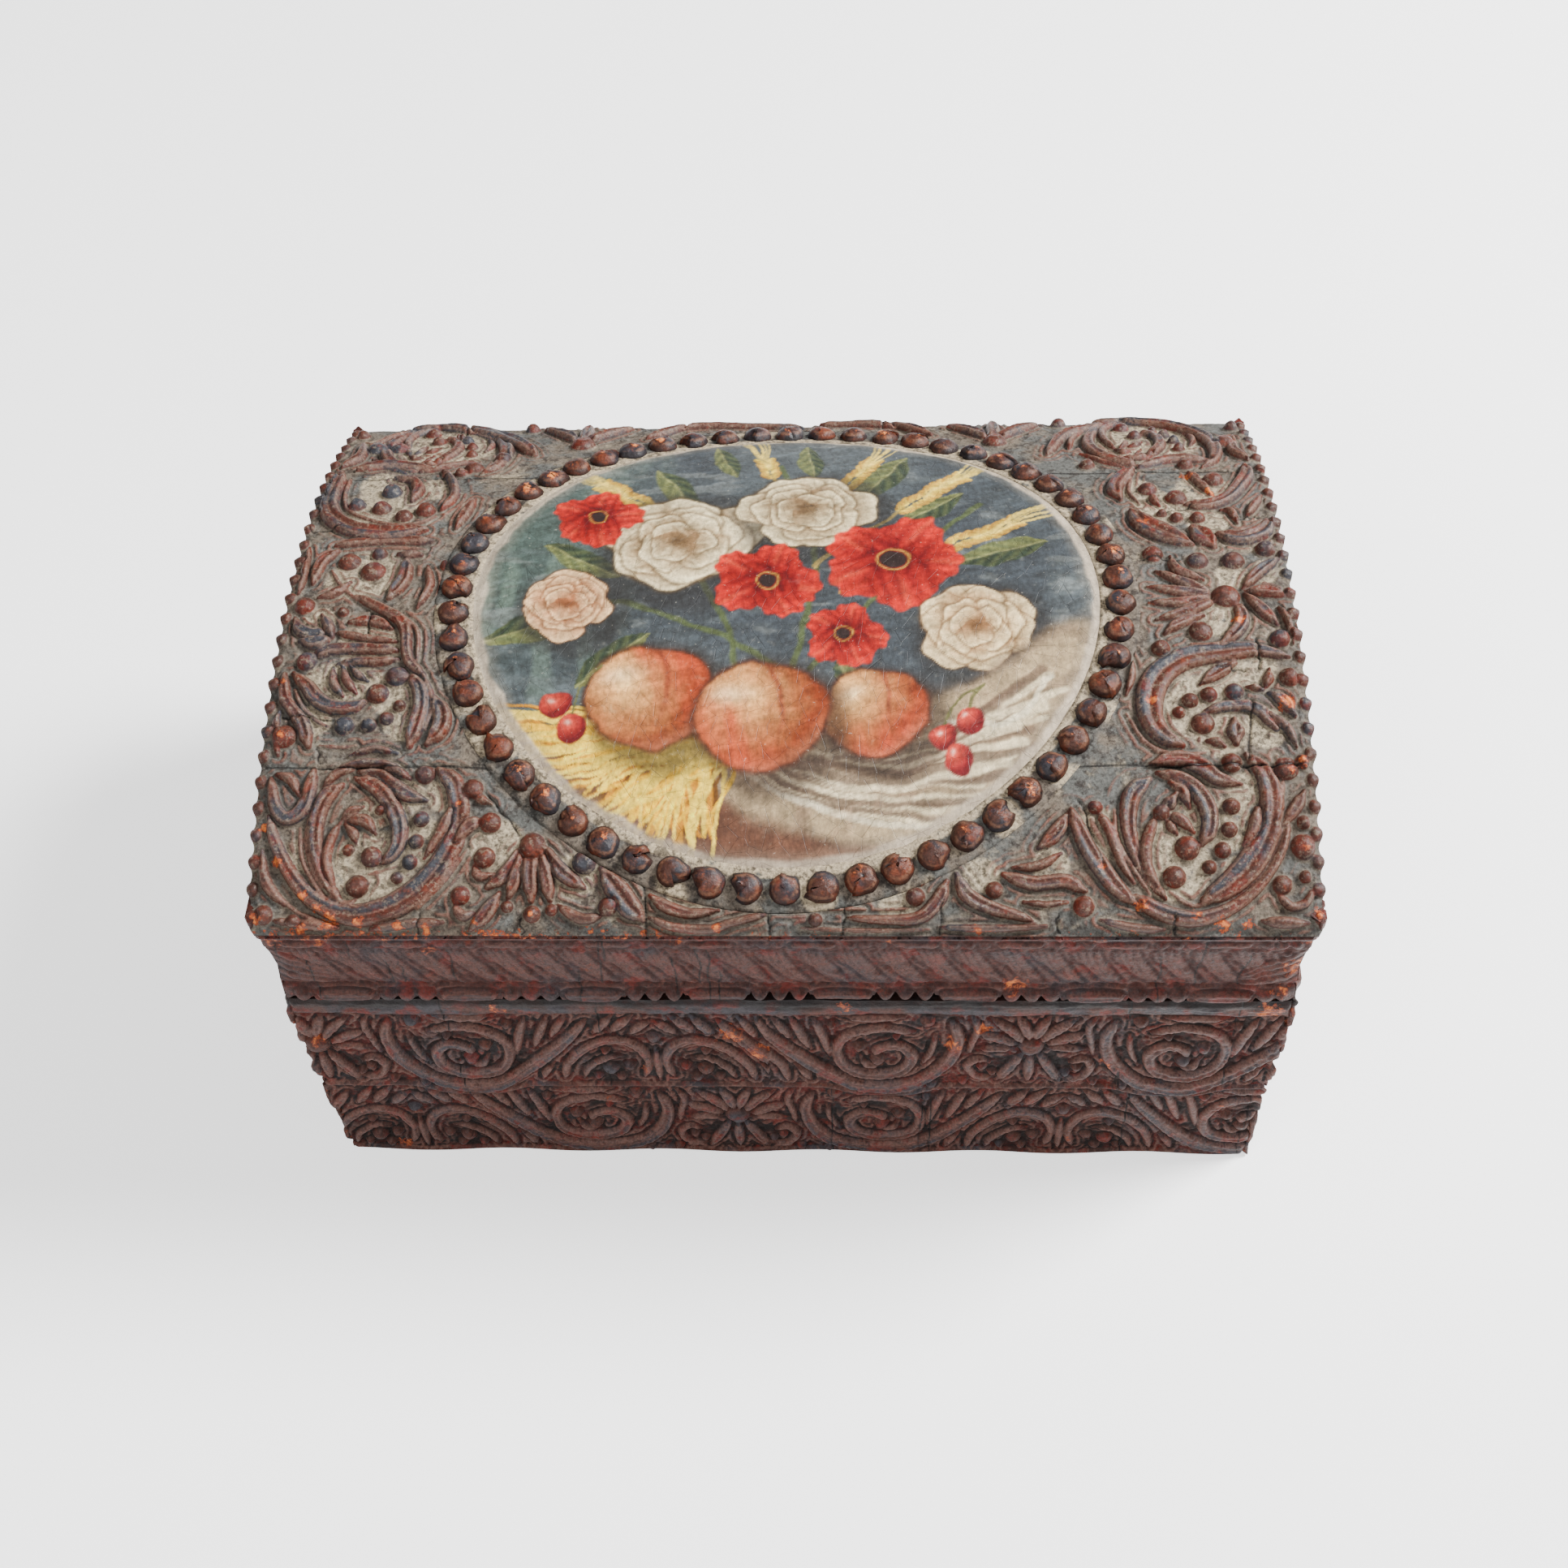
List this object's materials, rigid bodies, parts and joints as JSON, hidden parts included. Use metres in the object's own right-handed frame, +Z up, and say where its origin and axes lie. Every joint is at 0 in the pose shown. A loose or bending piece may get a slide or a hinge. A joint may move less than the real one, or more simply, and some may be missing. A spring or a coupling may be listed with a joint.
{
  "type": "domed trinket box",
  "caption": "Domed wooden casket with a hinged lid, moulded scroll ornament on every side and a painted oval panel in a ring of beads.",
  "frame": {"origin": "middle of the underside, on the surface the box stands on", "axes": "+X along the width to the right as seen from the front, front faces -Y, hinges at +Y, +Z up"},
  "size_m": [0.204, 0.14, 0.1135],
  "materials": {
    "bare_wood": "bare board, stained brown",
    "case_ornament": "dark reddish brown stain, worn to orange on edges",
    "lid_ornament": "reddish brown scrolls on a grey-beige ground",
    "bead_finish": "semi-gloss reddish brown",
    "painted_wood": "oil painted, slate blue ground",
    "brass": "aged"
  },
  "bodies": {
    "case": {"base_board": "bare_wood", "case_front_wall": "bare_wood", "case_back_wall": "bare_wood", "case_left_wall": "bare_wood", "case_right_wall": "bare_wood", "upper_frieze_front": "case_ornament", "upper_frieze_right": "case_ornament", "upper_frieze_back": "case_ornament", "upper_frieze_left": "case_ornament", "lower_frieze_front": "case_ornament", "lower_frieze_right": "case_ornament", "lower_frieze_back": "case_ornament", "lower_frieze_left": "case_ornament", "hinge_case_leaf_right": "brass", "hinge_case_leaf_left": "brass", "hinge_pin_right": "brass", "hinge_pin_left": "brass", "case_screw_right_a": "brass", "case_screw_right_b": "brass", "case_screw_left_a": "brass", "case_screw_left_b": "brass"},
    "lid": {"lid_front_rail": "bare_wood", "lid_back_rail": "bare_wood", "lid_left_end": "bare_wood", "lid_right_end": "bare_wood", "lid_top_panel": "bare_wood", "lid_rim_front": "case_ornament", "lid_rim_right": "case_ornament", "lid_rim_back": "case_ornament", "lid_rim_left": "case_ornament", "lid_lunette_right": "case_ornament", "lid_lunette_left": "case_ornament", "lid_ornament_front": "lid_ornament", "lid_ornament_right": "lid_ornament", "lid_ornament_back": "lid_ornament", "lid_ornament_left": "lid_ornament", "bead_ring": "bead_finish", "painted_panel": "painted_wood", "hinge_lid_leaf_right": "brass", "hinge_lid_leaf_left": "brass", "lid_screw_right_a": "brass", "lid_screw_right_b": "brass", "lid_screw_left_a": "brass", "lid_screw_left_b": "brass"}
  },
  "joints": [
    {"name": "lid_hinge", "type": "hinge", "parent": "case", "child": "lid", "pos_m": [0, 0.0665, 0.066], "axis": [-1, 0, 0], "range_deg": [0, 100]}
  ]
}
